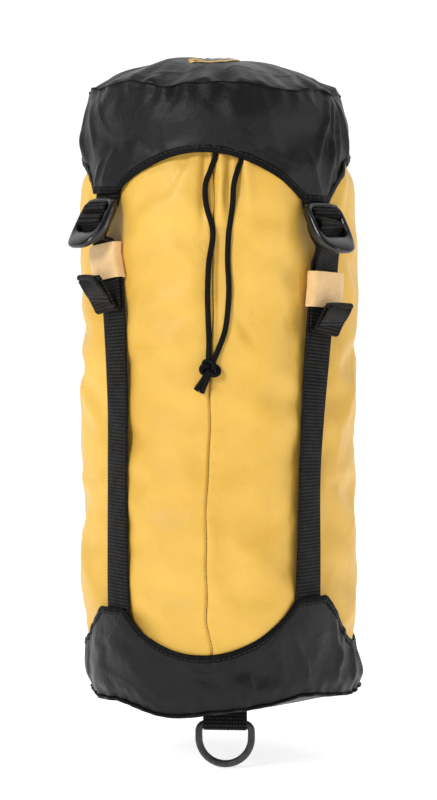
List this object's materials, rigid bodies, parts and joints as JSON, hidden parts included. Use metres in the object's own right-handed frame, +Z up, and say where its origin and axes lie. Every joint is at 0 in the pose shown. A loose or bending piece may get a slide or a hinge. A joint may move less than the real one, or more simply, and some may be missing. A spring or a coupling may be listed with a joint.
{
  "type": "stuff sack",
  "caption": "Cylindrical compression stuff sack with a drawcord mouth, a scalloped lid cap and base cup, webbing straps with ladder locks, and a D-ring.",
  "frame": {"origin": "centre of the flat ring under the base that the sack stands on", "axes": "+Z up along the sack's length, -Y out of the front, where the drawcord hangs, +X to the right seen from the front"},
  "size_m": [0.1584, 0.1593, 0.3907],
  "materials": {
    "sack_fabric": "satin coated nylon",
    "shell_fabric": "satin coated nylon",
    "binding_tape": "matte woven tape",
    "webbing": "ribbed nylon webbing",
    "elastic": "woven elastic",
    "lock_plastic": "moulded acetal",
    "ring_coating": "matte black coating",
    "spring_wire": "drawn wire",
    "cord": "braided cord",
    "print": "flat ink print"
  },
  "bodies": {
    "sack": {"body_tube": "sack_fabric", "front_seam": "sack_fabric", "bottom_panel": "shell_fabric", "base_seam": "binding_tape", "base_cup": "shell_fabric", "base_cup_binding": "binding_tape", "ring_patch": "webbing", "ring_tab": "webbing", "strap_front_left": "webbing", "strap_front_right": "webbing", "strap_rear_right": "webbing", "strap_rear_left": "webbing"},
    "cap": {"cap_band": "shell_fabric", "lid_panel": "shell_fabric", "cap_binding": "binding_tape", "lid_seam_tape": "binding_tape", "emblem": "print", "buckle_tab_front_left": "webbing", "buckle_tab_front_right": "webbing", "buckle_tab_rear_right": "webbing", "buckle_tab_rear_left": "webbing", "strap_tail_front_left": "webbing", "strap_tail_front_right": "webbing", "strap_tail_rear_right": "webbing", "strap_tail_rear_left": "webbing"},
    "mouth": {"body_neck": "sack_fabric", "hem_channel": "sack_fabric", "drawcord_loop": "cord", "drawcord_left": "cord", "drawcord_right": "cord", "cord_knot": "cord"},
    "cord_lock": {"cord_lock_barrel": "lock_plastic", "cord_lock_spring": "spring_wire"},
    "plunger": {"cord_lock_plunger": "lock_plastic"},
    "ring": {"d_ring": "ring_coating"},
    "lock_front_left": {"ladder_lock_front_left": "lock_plastic", "strap_wrap_front_left": "webbing"},
    "end_front_left": {"strap_end_front_left": "webbing"},
    "keep_front_left": {"keeper_front_left": "elastic"},
    "lock_front_right": {"ladder_lock_front_right": "lock_plastic", "strap_wrap_front_right": "webbing"},
    "end_front_right": {"strap_end_front_right": "webbing"},
    "keep_front_right": {"keeper_front_right": "elastic"},
    "lock_rear_right": {"ladder_lock_rear_right": "lock_plastic", "strap_wrap_rear_right": "webbing"},
    "end_rear_right": {"strap_end_rear_right": "webbing"},
    "keep_rear_right": {"keeper_rear_right": "elastic"},
    "lock_rear_left": {"ladder_lock_rear_left": "lock_plastic", "strap_wrap_rear_left": "webbing"},
    "end_rear_left": {"strap_end_rear_left": "webbing"},
    "keep_rear_left": {"keeper_rear_left": "elastic"}
  },
  "joints": [
    {"name": "cap_slide", "type": "slide", "parent": "sack", "child": "cap", "axis": [0, 0, 1], "range_m": [-0.07, 0.005], "deforming": ["body_tube", "front_seam", "strap_front_left", "strap_front_right", "strap_rear_right", "strap_rear_left"]},
    {"name": "mouth_slide", "type": "slide", "parent": "sack", "child": "mouth", "axis": [0, 0, 1], "range_m": [-0.07, 0.005]},
    {"name": "cord_lock_slide", "type": "slide", "parent": "mouth", "child": "cord_lock", "axis": [0, -1, 0], "range_m": [0, 0.012]},
    {"name": "plunger_press", "type": "slide", "parent": "cord_lock", "child": "plunger", "axis": [-1, 0, 0], "range_m": [0, 0.003], "stiffness_N_per_m": 400, "springref_m": -0.003, "deforming": ["cord_lock_spring"]},
    {"name": "ring_hinge", "type": "hinge", "parent": "sack", "child": "ring", "pos_m": [0.006, -0.032, -0.0114], "axis": [1, 0, 0], "range_deg": [-85, 85]},
    {"name": "lock_hinge_front_left", "type": "hinge", "parent": "cap", "child": "lock_front_left", "pos_m": [-0.05834, -0.05253, 0.274], "axis": [-0.6691, 0.7431, 0], "range_deg": [-6, 58]},
    {"name": "end_slide_front_left", "type": "slide", "parent": "cap", "child": "end_front_left", "axis": [0, 0, -1], "range_m": [-0.005, 0.07], "deforming": ["strap_tail_front_left"]},
    {"name": "keeper_slide_front_left", "type": "slide", "parent": "cap", "child": "keep_front_left", "axis": [0, 0, 1], "range_m": [-0.002, 0.004]},
    {"name": "lock_hinge_front_right", "type": "hinge", "parent": "cap", "child": "lock_front_right", "pos_m": [0.05834, -0.05253, 0.271], "axis": [-0.6691, -0.7431, 0], "range_deg": [-6, 58]},
    {"name": "end_slide_front_right", "type": "slide", "parent": "cap", "child": "end_front_right", "axis": [0, 0, -1], "range_m": [-0.005, 0.07], "deforming": ["strap_tail_front_right"]},
    {"name": "keeper_slide_front_right", "type": "slide", "parent": "cap", "child": "keep_front_right", "axis": [0, 0, 1], "range_m": [-0.002, 0.004]},
    {"name": "lock_hinge_rear_right", "type": "hinge", "parent": "cap", "child": "lock_rear_right", "pos_m": [0.05834, 0.05253, 0.273], "axis": [0.6691, -0.7431, 0], "range_deg": [-6, 58]},
    {"name": "end_slide_rear_right", "type": "slide", "parent": "cap", "child": "end_rear_right", "axis": [0, 0, -1], "range_m": [-0.005, 0.07], "deforming": ["strap_tail_rear_right"]},
    {"name": "keeper_slide_rear_right", "type": "slide", "parent": "cap", "child": "keep_rear_right", "axis": [0, 0, 1], "range_m": [-0.002, 0.004]},
    {"name": "lock_hinge_rear_left", "type": "hinge", "parent": "cap", "child": "lock_rear_left", "pos_m": [-0.05834, 0.05253, 0.272], "axis": [0.6691, 0.7431, 0], "range_deg": [-6, 58]},
    {"name": "end_slide_rear_left", "type": "slide", "parent": "cap", "child": "end_rear_left", "axis": [0, 0, -1], "range_m": [-0.005, 0.07], "deforming": ["strap_tail_rear_left"]},
    {"name": "keeper_slide_rear_left", "type": "slide", "parent": "cap", "child": "keep_rear_left", "axis": [0, 0, 1], "range_m": [-0.002, 0.004]}
  ],
  "couplings": [
    {"joint": "mouth_slide", "follows": "cap_slide", "ratio": 1},
    {"joint": "end_slide_front_left", "follows": "cap_slide", "ratio": -1},
    {"joint": "end_slide_front_right", "follows": "cap_slide", "ratio": -1},
    {"joint": "end_slide_rear_right", "follows": "cap_slide", "ratio": -1},
    {"joint": "end_slide_rear_left", "follows": "cap_slide", "ratio": -1}
  ]
}
